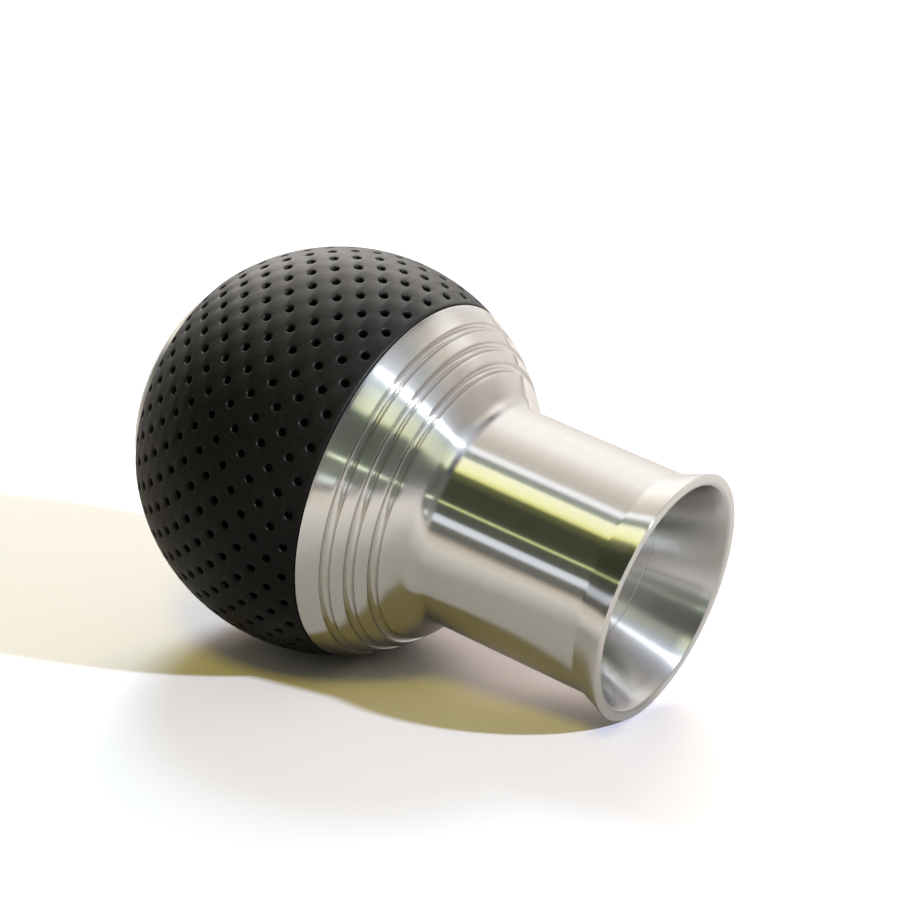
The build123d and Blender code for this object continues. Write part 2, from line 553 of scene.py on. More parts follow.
class Pen:
    """Draws half the section of a turned piece in the XZ plane, then turns it about the axis."""

    def __init__(self, name, start):
        bpy.ops.object.select_all(action="DESELECT")
        bpy.ops.mesh.primitive_plane_add(size=MM)
        self.piece = bpy.context.object
        self.piece.name = name
        self.at = start
        bpy.ops.object.mode_set(mode="EDIT")
        bpy.ops.mesh.select_mode(type="VERT")
        bpy.ops.mesh.merge(type="CENTER")
        bpy.ops.transform.translate(value=(start[0], 0, start[1]))

    def line(self, end, steps=1):
        """Draw a straight line."""
        move = ((end[0] - self.at[0]) / steps, 0, (end[1] - self.at[1]) / steps)
        for _ in range(steps):
            bpy.ops.mesh.extrude_vertices_move(TRANSFORM_OT_translate={"value": move})
        self.at = end

    def arc(self, centre, end, steps):
        """Draw the shorter arc round a centre."""
        first = atan2(self.at[0] - centre[0], self.at[1] - centre[1])
        last = atan2(end[0] - centre[0], end[1] - centre[1])
        sweep = (last - first + pi) % (2 * pi) - pi
        bpy.ops.mesh.spin(
            steps=steps, angle=-sweep, center=(centre[0], 0, centre[1]), axis=(0, 1, 0)
        )
        self.at = end

    def round(self, corners, radius, segments=3):
        """Round corners that are already drawn."""
        mesh = bmesh.from_edit_mesh(self.piece.data)
        for vertex in mesh.verts:
            here = (vertex.co.x, vertex.co.z)
            vertex.select = any(hypot(here[0] - x, here[1] - z) < TOUCH for x, z in corners)
        mesh.select_flush_mode()
        bmesh.update_edit_mesh(self.piece.data)
        bpy.ops.mesh.bevel(offset=radius, offset_type="OFFSET", segments=segments, affect="VERTICES")

    def turn(self, steps, smooth):
        """Turn the section into the whole piece and leave edit mode."""
        weld()
        bpy.ops.mesh.spin(steps=steps, angle=2 * pi, center=(0, 0, 0), axis=(0, 0, 1))
        finish_mesh(smooth)
        return self.piece


def weld(threshold=WELD):
    """Join what coincides in the mesh in hand, and leave all of it selected."""
    bpy.ops.mesh.select_all(action="SELECT")
    bpy.ops.mesh.remove_doubles(threshold=threshold)
    bpy.ops.mesh.select_all(action="SELECT")


def finish_mesh(smooth):
    """Weld the mesh in hand, turn its faces outwards, leave edit mode and shade it."""
    weld()
    bpy.ops.mesh.normals_make_consistent(inside=False)
    bpy.ops.object.mode_set(mode="OBJECT")
    bpy.ops.object.shade_smooth_by_angle(angle=radians(smooth))


def settle(piece, node, material):
    """Give a piece its finish and put it in place of its CAD node."""
    piece.data.materials.clear()
    piece.data.materials.append(material)
    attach(piece, "root")
    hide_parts(node)


def on_ball(size, latitude):
    """Point of the ball's outline at a latitude."""
    radius = size.ball_diameter / 2
    return radius * cos(latitude), size.ball_height + radius * sin(latitude)


def draw_outside(pen, size):
    """Draw the rim, the flare, the neck and the fillet under the collar."""
    neck = size.neck_diameter / 2
    lip = size.lip_diameter / 2
    slope = atan2(lip - neck, size.flare_height)
    tangent = size.flare_fillet * tan(slope / 2)
    flare_end = (neck + tangent * sin(slope), size.flare_height - tangent * cos(slope))
    flare_centre = (neck + size.flare_fillet, size.flare_height + tangent)
    reach = size.ball_diameter / 2 + size.neck_fillet
    fillet_out = neck + size.neck_fillet
    fillet_centre = (fillet_out, size.ball_height - sqrt(reach**2 - fillet_out**2))
    pen.line((lip, 0))
    pen.line(flare_end, steps=3)
    pen.arc(flare_centre, (neck, flare_centre[1]), steps=10)
    pen.line((neck, fillet_centre[1]), steps=12)
    pen.arc(fillet_centre, on_ball(size, -acos(fillet_out / reach)), steps=14)


def draw_collar(pen, size):
    """Draw the collar along the ball's curve, and give the edges of its grooves and its top."""
    ball = (0, size.ball_height)
    radius = size.ball_diameter / 2
    top = asin((size.collar_top - size.ball_height) / radius)
    reach = radius + size.groove_radius - size.groove_depth
    half_width = acos((radius**2 + reach**2 - size.groove_radius**2) / (2 * radius * reach))
    groove_edges = []
    for index in reversed(range(size.groove_count)):
        middle = top - (size.first_groove + index * size.groove_pitch) / radius
        groove = (reach * cos(middle), size.ball_height + reach * sin(middle))
        lower = on_ball(size, middle - half_width)
        upper = on_ball(size, middle + half_width)
        pen.arc(ball, lower, steps=5)
        pen.arc(groove, upper, steps=18)
        groove_edges += [lower, upper]
    top_edge = on_ball(size, top)
    pen.arc(ball, top_edge, steps=6)
    return groove_edges, top_edge


def draw_inside(pen, size):
    """Draw the socket, the lever's passage and the funnel with the fine line round it."""
    socket = size.socket_diameter / 2
    bore = size.lever_bore / 2
    mouth = size.mouth_diameter / 2
    slope = tan(size.funnel_angle)
    half_mark = size.funnel_mark_width / 2
    mark_top = size.funnel_mark + half_mark
    mark_bottom = size.funnel_mark - half_mark
    pen.line((socket, size.collar_top), steps=3)
    pen.line((socket, size.socket_floor), steps=3)
    pen.line((bore, size.socket_floor))
    pen.line((bore, (mouth - bore) / slope), steps=3)
    pen.line((mouth - mark_top * slope, mark_top), steps=5)
    pen.line((mouth - size.funnel_mark * slope + half_mark, size.funnel_mark))
    pen.line((mouth - mark_bottom * slope, mark_bottom))
    pen.line((mouth, 0), steps=5)


class KNOB_OT_steel_base(bpy.types.Operator):
    """Turn the steel base: lip, flare, neck, grooved collar, socket and funnel"""

    bl_idname = "knob.steel_base"
    bl_label = "Steel Base"

    def execute(self, context):
        size = sizes()
        look = finishes()
        mouth = (size.mouth_diameter / 2, 0)
        lip = (size.lip_diameter / 2, 0)
        pen = Pen("steel_base_turning", mouth)
        draw_outside(pen, size)
        groove_edges, top_edge = draw_collar(pen, size)
        draw_inside(pen, size)
        weld()
        pen.round([lip, mouth], size.lip_round)
        pen.round([top_edge], size.edge_round)
        pen.round(groove_edges, size.groove_edge_round)
        piece = pen.turn(steps=256, smooth=32)
        lines = steel_finish(
            "turned_steel_lines",
            line_scale=6000.0,
            line_strength=0.2,
            grain=look.steel_grain,
            roughness=look.steel_roughness,
        )
        settle(piece, "steel_base", lines)
        return {"FINISHED"}


class KNOB_OT_top_cap(bpy.types.Operator):
    """Turn the plain metal cap with the peg under it"""

    bl_idname = "knob.top_cap"
    bl_label = "Top Cap"

    def execute(self, context):
        size = sizes()
        radius = size.cap_diameter / 2
        peg = size.cap_peg_diameter / 2
        peg_end = size.cap_seat - size.cap_peg_length
        edge = on_ball(size, acos(2 * radius / size.ball_diameter))
        pen = Pen(CAP, (0, peg_end))
        pen.line((peg, peg_end), steps=2)
        pen.line((peg, size.cap_seat), steps=2)
        pen.line((radius, size.cap_seat), steps=4)
        pen.line(edge)
        pen.arc((0, size.ball_height), on_ball(size, pi / 2), steps=24)
        pen.round([edge], size.cap_edge_round, segments=4)
        piece = pen.turn(steps=192, smooth=32)
        satin = steel_finish(
            "cap_steel_satin",
            line_scale=5000.0,
            line_strength=0.1,
            grain=0.0,
            roughness=finishes().cap_roughness,
        )
        settle(piece, "top_cap", satin)
        return {"FINISHED"}


# The thread's ridge: half its foot and half its crest in pitches, how far it stands in the wall
# of the bush, and the steps of one turn
RIDGE_FOOT = 0.42
RIDGE_CREST = 0.06
RIDGE_BITE = 0.05 * MM
RIDGE_STEPS = 48


class KNOB_OT_threaded_bush(bpy.types.Operator):
    """Turn the brass bush and cut its thread"""

    bl_idname = "knob.threaded_bush"
    bl_label = "Threaded Bush"

    def execute(self, context):
        size = sizes()
        outside = size.bush_diameter / 2
        root = size.thread_root / 2
        bottom = size.bush_bottom
        top = bottom + size.bush_length
        pen = Pen("lever_bush", (root + size.bush_edge, bottom))
        pen.line((outside, bottom))
        pen.line((outside, top - size.bush_edge), steps=4)
        pen.line((outside - size.bush_edge, top))
        pen.line((root, top))
        pen.line((root, bottom + size.bush_edge), steps=4)
        pen.line((root + size.bush_edge, bottom))
        bush = pen.turn(steps=96, smooth=30)

        crest = size.thread_bore / 2
        foot = root + RIDGE_BITE
        rise = size.thread_pitch
        half_foot = RIDGE_FOOT * rise
        half_crest = RIDGE_CREST * rise
        start = bottom + size.bush_edge + rise / 2
        pen = Pen("thread_ridge", (foot, start - half_foot))
        pen.line((crest, start - half_crest))
        pen.line((crest, start + half_crest))
        pen.line((foot, start + half_foot))
        pen.line((foot, start - half_foot))
        weld()
        bpy.ops.object.mode_set(mode="OBJECT")
        bpy.ops.object.modifier_add(type="SCREW")
        screw = pen.piece.modifiers[-1]
        screw.axis = "Z"
        screw.screw_offset = rise
        screw.iterations = int((size.bush_length - size.bush_edge) / rise) - 1
        screw.steps = RIDGE_STEPS
        screw.render_steps = RIDGE_STEPS
        bpy.ops.object.modifier_apply(modifier=screw.name)
        bpy.ops.object.mode_set(mode="EDIT")
        bpy.ops.mesh.select_all(action="DESELECT")
        bpy.ops.mesh.select_non_manifold()
        bpy.ops.mesh.fill()
        finish_mesh(smooth=30)
        bush.select_set(True)
        bpy.context.view_layer.objects.active = bush
        bpy.ops.object.join()
        settle(bush, "threaded_insert", brass_finish())
        return {"FINISHED"}


class PunchedSheet:
    """A flat sheet of punched leather, and its way round the ball."""

    # Corners of a hole's rings, how far the outer one gives as the sheet stretches, and the slack
    # in telling them apart
    RING = 12
    RING_GIVE = 0.4
    SLACK = 1.02

    # How far the punched part stops short of the cap, and the steps round the foot and up the back
    END_MARGIN = 0.3 * MM
    FOOT_STEPS = 5
    BACK_STEPS = 16

    def __init__(self, size, pattern):
        self.size = size
        self.pattern = pattern
        self.radius = size.ball_diameter / 2
        self.column = 2 * pi * self.radius / pattern.per_row
        self.row = self.radius * pattern.row_step
        self.roll_arc = self.radius * size.roll_start
        roll_offset = self.radius - size.roll_radius
        self.roll_centre = (
            roll_offset * cos(size.roll_start),
            size.ball_height + roll_offset * sin(size.roll_start),
        )
        cap_hole = size.cap_diameter / 2 + size.cap_gap
        self.roll_end = acos((cap_hole - self.roll_centre[0]) / size.roll_radius)
        self.end_arc = self.roll_arc + size.roll_radius * (self.roll_end - size.roll_start)
        self.arcs = [self.radius * self.latitude(row) for row in range(pattern.rows)]
        self.edges = [(low + high) / 2 for low, high in zip(self.arcs, self.arcs[1:])]
        self.edges.insert(0, self.arcs[0] - self.row / 2)
        self.edges.append(self.end_arc - self.END_MARGIN)

    def latitude(self, row):
        """Latitude of a row of holes."""
        pattern = self.pattern
        spread = max(0, row - pattern.stretch_row)
        return pattern.first_latitude + row * pattern.row_step + pattern.stretch * spread**2

    def outline(self, arc, inset=0.0):
        """Distance from the axis and height, at an arc from the equator and a depth."""
        size = self.size
        if arc <= self.roll_arc:
            latitude = arc / self.radius
            reach = self.radius - inset
            return reach * cos(latitude), size.ball_height + reach * sin(latitude)
        turn = size.roll_start + (arc - self.roll_arc) / size.roll_radius
        reach = size.roll_radius - inset
        return self.roll_centre[0] + reach * cos(turn), self.roll_centre[1] + reach * sin(turn)

    def cell(self, name):
        """One hole with its share of the sheet, drawn from the hole's floor outwards."""
        pattern = self.pattern
        rings = [
            (pattern.diameter / 2, -pattern.wall_depth),
            (pattern.diameter / 2 + pattern.bevel_width, -pattern.bevel_depth),
            (pattern.lip_diameter / 2, -pattern.lip_depth),
            (pattern.ring_diameter / 2, 0.0),
        ]
        bpy.ops.object.select_all(action="DESELECT")
        bpy.ops.mesh.primitive_circle_add(
            vertices=self.RING, radius=pattern.floor_diameter / 2, fill_type="NGON"
        )
        piece = bpy.context.object
        piece.name = name
        bpy.ops.object.mode_set(mode="EDIT")
        bpy.ops.mesh.select_mode(type="EDGE")
        bpy.ops.mesh.select_all(action="SELECT")
        bpy.ops.transform.translate(value=(0, 0, -pattern.depth))
        radius = pattern.floor_diameter / 2
        depth = -pattern.depth
        for next_radius, next_depth in rings:
            bpy.ops.mesh.extrude_edges_move(
                TRANSFORM_OT_translate={"value": (0, 0, next_depth - depth)}
            )
            widen = next_radius / radius
            bpy.ops.transform.resize(value=(widen, widen, 1), center_override=(0, 0, 0))
            radius = next_radius
            depth = next_depth
        bpy.ops.mesh.extrude_edges_move()
        wide = self.column / 2
        high = self.row / 2
        half = [(wide, 0)]
        half += [(wide * side, high) for side in (1, 0.5, 0, -0.5, -1)]
        border = half + [(-x, -y) for x, y in half]
        mesh = bmesh.from_edit_mesh(piece.data)
        for vertex in mesh.verts:
            if vertex.select:
                place = round(atan2(vertex.co.y, vertex.co.x) * self.RING / (2 * pi))
                vertex.co.x, vertex.co.y = border[place % self.RING]
        bmesh.update_edit_mesh(piece.data)
        bpy.ops.object.mode_set(mode="OBJECT")
        return piece

    def repeat(self, piece):
        """Repeat the cell along a row, and the row up the sheet, half a cell over each time."""
        steps = [
            (self.pattern.per_row, (self.column, 0, 0)),
            (self.pattern.rows, (self.column / 2, self.row, 0)),
        ]
        for count, step in steps:
            bpy.ops.object.modifier_add(type="ARRAY")
            copies = piece.modifiers[-1]
            copies.count = count
            copies.use_relative_offset = False
            copies.use_constant_offset = True
            copies.constant_offset_displace = step
            bpy.ops.object.modifier_apply(modifier=copies.name)

    def give(self, from_hole):
        """How far a point follows the sheet's stretch: not at a hole, and freely beyond its ring."""
        if from_hole < self.pattern.lip_diameter / 2 * self.SLACK:
            return 0.0
        if from_hole < self.pattern.ring_diameter / 2 * self.SLACK:
            return self.RING_GIVE
        return 1.0

    def wrap(self, piece):
        """Carry the flat sheet round the ball, with its holes still round, and give each point its
        painted shade by its depth in a hole.
        """
        pattern = self.pattern
        hole_shades = piece.data.attributes.new("hole_depth", "FLOAT", "POINT")
        turn = 2 * pi / pattern.per_row
        for index, vertex in enumerate(piece.data.vertices):
            x, y, z = vertex.co
            row = min(max(floor(y / self.row + 0.5), 0), pattern.rows - 1)
            column = round(x / self.column - row / 2)
            beside = x - (column + row / 2) * self.column
            above = y - row * self.row
            give = self.give(hypot(beside, above))
            side = self.edges[row + 1] if above > 0 else self.edges[row]
            centre = self.arcs[row]
            spread_arc = centre + abs(above) / (self.row / 2) * (side - centre)
            arc = give * spread_arc + (1 - give) * (centre + above)
            out = self.outline(arc)[0]
            centre_azimuth = turn * (column + row / 2) + pattern.lean * row
            lattice_azimuth = turn * x / self.column + pattern.lean * y / self.row
            azimuth = give * lattice_azimuth + (1 - give) * (centre_azimuth + beside / out)
            azimuth += pattern.azimuth
            out, up = self.outline(arc, -z)
            vertex.co = (out * cos(azimuth), out * sin(azimuth), up)
            # Painted shade: the deeper in a hole, the darker
            shade = (-z - pattern.shade_depth) / pattern.shade_run
            hole_shades.data[index].value = min(1.0, max(0.0, shade))

    def close(self, piece):
        """Run the sheet's lower edge round the foot and up the back to its upper edge."""
        size = self.size
        foot = size.leather_foot_round
        bottom = size.collar_top + size.leather_gap
        foot_height = bottom + foot
        foot_out = sqrt((self.radius - foot) ** 2 - (foot_height - size.ball_height) ** 2)
        lean = atan2(foot_height - size.ball_height, foot_out)
        section = []
        for step in range(self.FOOT_STEPS + 1):
            turn = lean + (-pi / 2 - lean) * step / self.FOOT_STEPS
            section.append((foot_out + foot * cos(turn), foot_height + foot * sin(turn)))
        inside = self.radius - size.leather_thickness
        heel = asin((bottom - size.ball_height) / inside)
        first_arc = self.radius * heel
        for step in range(self.BACK_STEPS + 1):
            arc = first_arc + (self.end_arc - first_arc) * step / self.BACK_STEPS
            section.append(self.outline(arc, size.leather_thickness))
        section.append(self.outline(self.end_arc))

        bpy.ops.object.mode_set(mode="EDIT")
        bpy.ops.mesh.select_mode(type="EDGE")
        weld(TOUCH)
        at = self.outline(self.edges[0])
        self.select_ring(piece, at[1])
        for place in section:
            bpy.ops.mesh.extrude_edges_move(
                TRANSFORM_OT_translate={"value": (0, 0, place[1] - at[1])}
            )
            widen = place[0] / at[0]
            bpy.ops.transform.resize(value=(widen, widen, 1), center_override=(0, 0, 0))
            at = place
        self.select_ring(piece, self.outline(self.edges[-1])[1], keep=True)
        bpy.ops.mesh.bridge_edge_loops()
        finish_mesh(smooth=40)

    def select_ring(self, piece, height, keep=False):
        """Select the open edges at a height, beside what is selected where that is kept."""
        mesh = bmesh.from_edit_mesh(piece.data)
        for edge in mesh.edges:
            level = all(abs(vertex.co.z - height) < 2 * TOUCH for vertex in edge.verts)
            chosen = edge.is_boundary and level
            edge.select_set(chosen or (keep and edge.is_boundary))
        bmesh.update_edit_mesh(piece.data)


class KNOB_OT_leather_cover(bpy.types.Operator):
    """Punch a sheet of leather, wrap it round the ball and close it behind"""

    bl_idname = "knob.leather_cover"
    bl_label = "Leather Cover"

    def execute(self, context):
        sheet = PunchedSheet(sizes(), holes())
        piece = sheet.cell(COVER)
        sheet.repeat(piece)
        sheet.wrap(piece)
        sheet.close(piece)
        settle(piece, "leather_cover", leather_finish())
        return {"FINISHED"}


class KNOB_OT_ball_core(bpy.types.Operator):
    """Give the moulded core under the leather its finish"""

    bl_idname = "knob.ball_core"
    bl_label = "Ball Core"

    def execute(self, context):
        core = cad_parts["ball_core"]
        core.data.materials.clear()
        core.data.materials.append(plastic_finish())
        return {"FINISHED"}


def floor_up():
    """Direction that is up as the knob lies on the floor."""
    look = stage_settings()
    out = cos(look.floor_tilt)
    turn = look.floor_azimuth
    return Vector((out * sin(turn), -out * cos(turn), sin(look.floor_tilt)))


def floor_side():
    """Direction along the floor that the mouth faces."""
    along = Vector((0, 0, -1))
    return (along - floor_up() * along.dot(floor_up())).normalized()


def add_camera():
    """Stand the camera where the picture was taken."""
    look = stage_settings()
    place = Vector(look.camera_place)
    view = Vector(look.camera_aim) - place
    bpy.ops.object.camera_add(location=place)
    camera = bpy.context.object
    camera.rotation_mode = "QUATERNION"
    roll = Quaternion((0, 0, 1), -look.camera_roll)
    camera.rotation_quaternion = view.to_track_quat("-Z", "Y") @ roll
    camera.data.lens = look.camera_lens
    camera.data.sensor_width = look.camera_sensor
    camera.data.clip_start = 10 * MM
    bpy.context.scene.camera = camera


# Where the floor's mirrored tones fade in: by the distance from the knob's middle, where the floor is
# painted darker as shade, and along the floor to the mouth's side, where it is painted dark as a
# reflection
KNOB_MIDDLE = (0, 0, 30 * MM)
NEAR_FLOOR = (120 * MM, 35 * MM)
FAR_FLOOR = (100 * MM, 300 * MM)
FLOOR_BEHIND = (-70 * MM, -110 * MM)


def floor_finish():
    """White floor that keeps the knob's shadow, toned where the steel mirrors it, clear from below."""
    look = stage_settings()
    material = bpy.data.materials.new("white_floor")
    shader = Shader(material)
    position = shader.node("ShaderNodeNewGeometry", output="Position")
    beside = shader.node(
        "ShaderNodeVectorMath",
        {"operation": "DISTANCE"},
        {0: position, 1: KNOB_MIDDLE},
        output="Value",
    )
    aside = shader.dot(position, floor_side())
    mirrored = look.floor_mirrored
    for distance, edges, tone in (
        (beside, NEAR_FLOOR, look.floor_near_painted_shade),
        (aside, FAR_FLOOR, look.floor_far_painted_dark),
        (aside, FLOOR_BEHIND, look.floor_behind),
    ):
        mirrored = shader.blend(shader.between(distance, *edges), mirrored, tone)
    pictured = toned(look.floor, look.floor_lift)
    tone = shader.blend(shader.ray("Is Camera Ray"), mirrored, pictured)
    front = shader.node("ShaderNodeBsdfDiffuse", inputs={"Color": tone})
    clear = shader.node("ShaderNodeBsdfTransparent")
    below = shader.node("ShaderNodeNewGeometry", output="Backfacing")
    hidden = shader.maths("MAXIMUM", below, shader.ray("Is Shadow Ray"))
    both = shader.node("ShaderNodeMixShader", inputs={0: hidden, 1: front, 2: clear})
    shader.node("ShaderNodeOutputMaterial", inputs={"Surface": both})
    return material


def add_floor():
    """Lay the white floor that the knob rests on."""
    size = sizes()
    up = floor_up()
    bpy.ops.object.select_all(action="DESELECT")
    bpy.ops.mesh.primitive_plane_add(
        size=stage_settings().floor_size,
        location=Vector((0, 0, size.ball_height)) - up * (size.ball_diameter / 2),
        rotation=up.to_track_quat("Z", "Y").to_euler(),
    )
    plane = bpy.context.object
    plane.name = "floor"
    plane.data.materials.append(floor_finish())


class Lamp(NamedTuple):
    """A square lamp that faces the knob, in metres and watts."""

    name: str
    side: tuple
    distance: float
    width: float
    watts: float
    tint: tuple
    misses: str = ""
    lights_only: str = ""


LAMP_AIM = Vector((0, 0, 40 * MM))
KEY_SIDE = (0.60, -0.29, -0.745)
MOUTH_SIDE = (0.728, -0.50, -0.469)
WARM_SIDE = (0.489, -0.872, -0.019)
SOFT_SIDE = (0.815, 0.123, 0.566)
BACK_SIDE = (0.775, 0.504, 0.381)
SHEEN_SIDE = (0.83, 0.20, 0.50)
UNDER_SIDE = (-0.35, 0.90, 0.25)
EDGE_SIDE = (0.45, -0.62, 0.643)

# The lamps, with the kind of ray that misses each and the one piece that it lights, if any
LAMPS = [
    Lamp("key_lamp", KEY_SIDE, 1.0, 0.04, 8.9, (0.803, 0.826, 1.0), misses="glossy"),
    Lamp("glint_lamp", KEY_SIDE, 1.0, 0.04, 2.0, (0.75, 0.87, 1.0), misses="diffuse"),
    Lamp("mouth_glint_lamp", MOUTH_SIDE, 1.0, 0.04, 0.55, (0.9, 0.95, 1.0), misses="diffuse"),
    Lamp("warm_lamp", WARM_SIDE, 1.0, 0.21, 1.8, (1.0, 0.74, 0.0), misses="glossy"),
    Lamp("soft_lamp", SOFT_SIDE, 0.9, 0.24, 2.7, (0.65, 0.88, 1.0), misses="glossy"),
    Lamp("back_lamp", BACK_SIDE, 0.9, 0.42, 4.9, (1.0, 0.78, 0.65), misses="glossy"),
    Lamp("sheen_lamp", SHEEN_SIDE, 0.9, 1.1, 20.0, (1.0, 0.95, 0.90), lights_only=COVER),
    Lamp("spark_lamp", KEY_SIDE, 1.0, 0.04, 28.0, (0.85, 1.0, 0.95), "diffuse", COVER),
    Lamp("under_lamp", UNDER_SIDE, 0.9, 0.6, 8.0, (1.0, 1.0, 1.0), "glossy", COVER),
    Lamp("edge_lamp", EDGE_SIDE, 0.9, 0.5, 0.7, (0.72, 0.70, 1.0), lights_only=CAP),
]


def hang(lamp):
    """Hang a lamp, turned to the knob."""
    place = LAMP_AIM + Vector(lamp.side).normalized() * lamp.distance
    bpy.ops.object.light_add(type="AREA", location=place)
    light = bpy.context.object
    light.name = lamp.name
    light.rotation_euler = (LAMP_AIM - place).to_track_quat("-Z", "Y").to_euler()
    light.data.size = lamp.width
    light.data.energy = lamp.watts
    light.data.color = lamp.tint
    light.visible_glossy = lamp.misses != "glossy"
    light.visible_diffuse = lamp.misses != "diffuse"
    if lamp.lights_only:
        lit = bpy.data.collections.new(lamp.name)
        lit.objects.link(bpy.data.objects[lamp.lights_only])
        light.light_linking.receiver_collection = lit


# What the steel mirrors above the lens, as (azimuth in degrees from the camera's side, colour)
UPPER_SURROUNDINGS = [
    (-180, (0.70, 0.67, 0.64)),
    (-150, (0.51, 0.49, 0.465)),
    (-36, (0.60, 0.57, 0.52)),
    (-33, (0.10, 0.10, 0.09)),
    (-24.5, (0.10, 0.10, 0.09)),
    (-23, (0.78, 0.84, 0.92)),
    (-17, (0.78, 0.84, 0.92)),
    (-15.5, (0.08, 0.09, 0.07)),
    (-5.5, (0.06, 0.07, 0.05)),
    (-5, (1.10, 1.22, 0.54)),
    (-3.4, (1.10, 1.22, 0.54)),
    (-2.8, (0.05, 0.06, 0.04)),
    (3, (0.038, 0.044, 0.022)),
    (18, (0.038, 0.044, 0.022)),
    (26.8, (0.14, 0.15, 0.05)),
    (28.8, (0.94, 0.94, 0.33)),
    (34, (1.08, 1.08, 0.64)),
    (43.5, (1.06, 1.09, 0.80)),
    (44.7, (0.28, 0.32, 0.24)),
    (50.5, (0.22, 0.25, 0.21)),
    (53.5, (0.95, 0.97, 1.00)),
    (57.5, (0.95, 0.97, 1.00)),
    (60.5, (0.55, 0.51, 0.46)),
    (70, (0.58, 0.54, 0.48)),
    (85, (0.81, 0.76, 0.71)),
    (98, (1.00, 0.98, 0.96)),
    (125, (1.00, 0.98, 0.96)),
    (150, (0.79, 0.765, 0.74)),
    (180, (0.70, 0.67, 0.64)),
]

# What its mouth mirrors, level with the lens
LENS_SURROUNDINGS = [
    (-180, (0.60, 0.58, 0.55)),
    (-29, (0.58, 0.56, 0.53)),
    (-23, (0.33, 0.32, 0.30)),
    (-12, (0.19, 0.185, 0.175)),
    (5, (0.14, 0.135, 0.125)),
    (20, (0.11, 0.11, 0.12)),
    (25, (0.04, 0.04, 0.08)),
    (30, (0.03, 0.03, 0.10)),
    (35, (0.06, 0.05, 0.14)),
    (40, (0.16, 0.16, 0.28)),
    (44, (0.34, 0.36, 0.52)),
    (47, (0.55, 0.57, 0.68)),
    (59, (0.50, 0.52, 0.60)),
    (66, (0.42, 0.43, 0.48)),
    (76, (0.31, 0.31, 0.33)),
    (86, (0.20, 0.20, 0.21)),
    (95, (0.09, 0.09, 0.10)),
    (103, (0.26, 0.26, 0.26)),
    (112, (0.64, 0.62, 0.61)),
    (180, (0.60, 0.58, 0.55)),
]

# What its collar mirrors, below the lens
LOWER_SURROUNDINGS = [
    (-180, (0.27, 0.265, 0.26)),
    (-30, (0.60, 0.58, 0.55)),
    (-24, (0.36, 0.37, 0.36)),
    (-22.2, (0.36, 0.39, 0.38)),
    (-21.2, (0.78, 0.86, 0.87)),
    (-17.5, (0.80, 0.89, 0.90)),
    (-16.5, (0.16, 0.18, 0.15)),
    (-5.0, (0.13, 0.16, 0.12)),
    (-4.7, (1.45, 1.62, 1.25)),
    (-3.3, (1.45, 1.62, 1.25)),
    (-3.0, (0.11, 0.14, 0.11)),
    (3, (0.08, 0.095, 0.075)),
    (10, (0.07, 0.075, 0.06)),
    (20, (0.08, 0.09, 0.07)),
    (25, (0.12, 0.15, 0.10)),
    (27.5, (0.60, 0.66, 0.44)),
    (29, (0.74, 0.80, 0.54)),
    (40, (0.70, 0.77, 0.64)),
    (44, (0.63, 0.70, 0.64)),
    (46, (0.44, 0.52, 0.53)),
    (58, (0.56, 0.61, 0.69)),
    (66, (0.44, 0.47, 0.51)),
    (76, (0.42, 0.435, 0.45)),
    (86, (0.55, 0.54, 0.51)),
    (96, (0.82, 0.75, 0.69)),
    (104, (1.00, 0.97, 0.93)),
    (115, (1.00, 0.98, 0.95)),
    (125, (0.74, 0.69, 0.65)),
    (155, (0.70, 0.66, 0.635)),
    (180, (0.36, 0.345, 0.335)),
]

# Softer zones over those bands
CEILING = (0.86, 0.83, 0.80)
UNDERSIDE = (0.33, 0.33, 0.32)
LOW_CORNER = (0.36, 0.31, 0.28)

# Where a zone starts and where it is whole, in degrees of rise, of azimuth or of azimuth to
# either side, and how strong it is where that isn't 1
LENS_RISE = (14, 6)
COLLAR_RISE = (0.8, -0.8)
CEILING_RISE = (66, 72)
CEILING_ASIDE = (50, 70)
CORNER_RISE = (-14, -30)
CORNER_AZIMUTH = (85, 100)
CORNER_SHARE = 0.85
UNDERSIDE_RISE = (-32, -70)
UNDERSIDE_SHARE = 0.25

# Low down the bands are brighter near the camera's side, and high up, over the flare, they go
# from darker to brighter across it
BRIGHTER_RISE = (-40, -26)
BRIGHTER_ASIDE = (75, 58)
BRIGHTER_SHARE = 0.5
FLARE_RISE = (28, 48)
FLARE_AZIMUTH = (-75, -60)
FLARE_CHANGE = (-10, 95)
FLARE_SHARES = (-0.4, 0.15)

# The upper edge of what the collar mirrors: its drop at the camera's side, and how it rises beside
COLLAR_DROP = 23.5
COLLAR_BOW = 0.72

# How the bands draw together away from the lens: from which rise, and how fast below and above
GATHER_RISE = (22, 90)
GATHER_SIDES = (-1, 1)
GATHER_RATES = (1.3, 1.5)

# Soft light: the height over the floor at which it is whole, and its strength there
FILL_HEIGHT = 0.6
FILL_STRENGTH = 1.2
BACKGROUND = (1, 1, 1)


